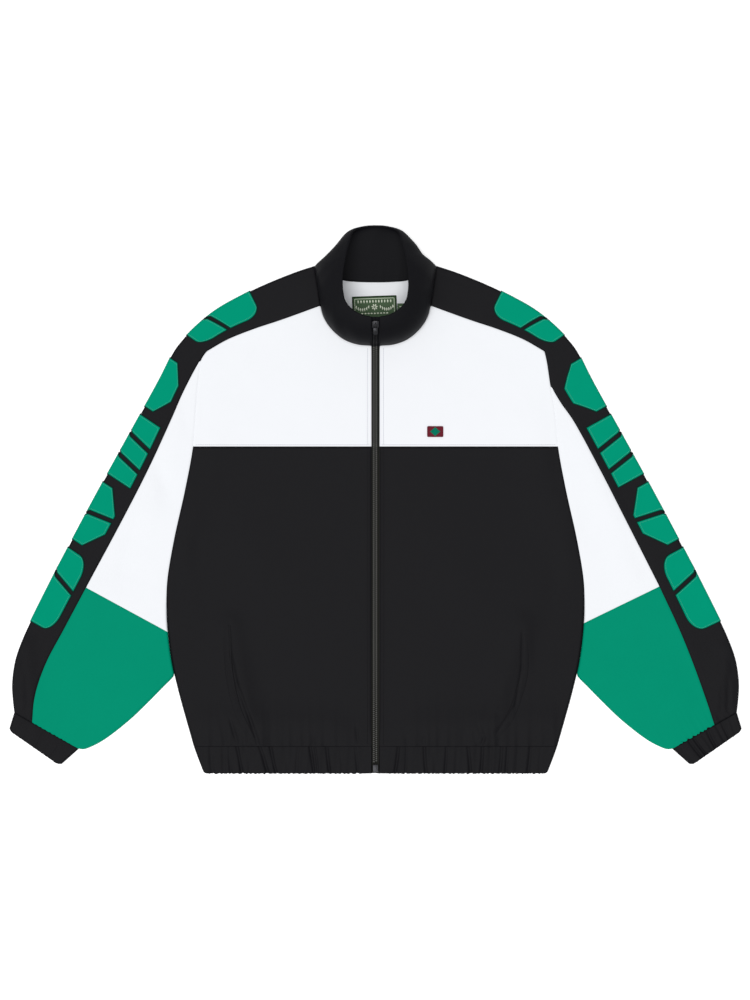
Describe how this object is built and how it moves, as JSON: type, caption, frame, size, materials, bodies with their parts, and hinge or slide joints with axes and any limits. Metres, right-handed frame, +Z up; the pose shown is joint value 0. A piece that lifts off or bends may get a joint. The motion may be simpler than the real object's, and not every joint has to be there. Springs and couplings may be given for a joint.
{
  "type": "track jacket",
  "caption": "Zip-front track jacket laid flat, with a stand collar, saddle bands with applique shapes down the sleeves, gathered cuffs and a gathered hem band.",
  "frame": {"origin": "centre of the jacket's box, on the surface that it lies on", "axes": "+X towards the wearer's left, +Y towards the collar, +Z up from the surface"},
  "size_m": [0.9892, 0.7386, 0.0604],
  "materials": {
    "black_shell": "matte",
    "white_shell": "matte",
    "green_shell": "matte",
    "green_applique": "matte",
    "woven_label": "matte",
    "embroidery": "matte",
    "zip_tape": "matte",
    "zip_coil": "satin",
    "dark_metal": "satin"
  },
  "bodies": {
    "jacket": {"back_lower": "black_shell", "back_upper": "white_shell", "chest_patch": "embroidery", "collar": "black_shell", "cuff_left": "black_shell", "cuff_right": "black_shell", "front_lower_left": "black_shell", "front_lower_right": "black_shell", "front_upper_left": "white_shell", "front_upper_right": "white_shell", "hem_band": "black_shell", "motif_1_left": "green_applique", "motif_1_right": "green_applique", "motif_2_left": "green_applique", "motif_2_right": "green_applique", "motif_3_left": "green_applique", "motif_3_right": "green_applique", "motif_4_left": "green_applique", "motif_4_right": "green_applique", "motif_5_left": "green_applique", "motif_5_right": "green_applique", "neck_label": "woven_label", "pocket_welt_left": "black_shell", "pocket_welt_right": "black_shell", "size_tab": "woven_label", "sleeve_back_lower_left": "green_shell", "sleeve_back_lower_right": "green_shell", "sleeve_back_upper_left": "white_shell", "sleeve_back_upper_right": "white_shell", "sleeve_band_left": "black_shell", "sleeve_band_right": "black_shell", "sleeve_front_lower_left": "green_shell", "sleeve_front_lower_right": "green_shell", "sleeve_front_upper_left": "white_shell", "sleeve_front_upper_right": "white_shell", "zip_chain": "zip_coil", "zip_slider": "dark_metal", "zip_stop": "dark_metal", "zip_tape_left": "zip_tape", "zip_tape_right": "zip_tape"},
    "pull": {"zip_pull": "dark_metal"}
  },
  "joints": [
    {"name": "pull_swing", "type": "hinge", "parent": "jacket", "child": "pull", "pos_m": [0, 0.23234, 0.0579], "axis": [-1, 0, 0], "range_deg": [0, 160]}
  ]
}
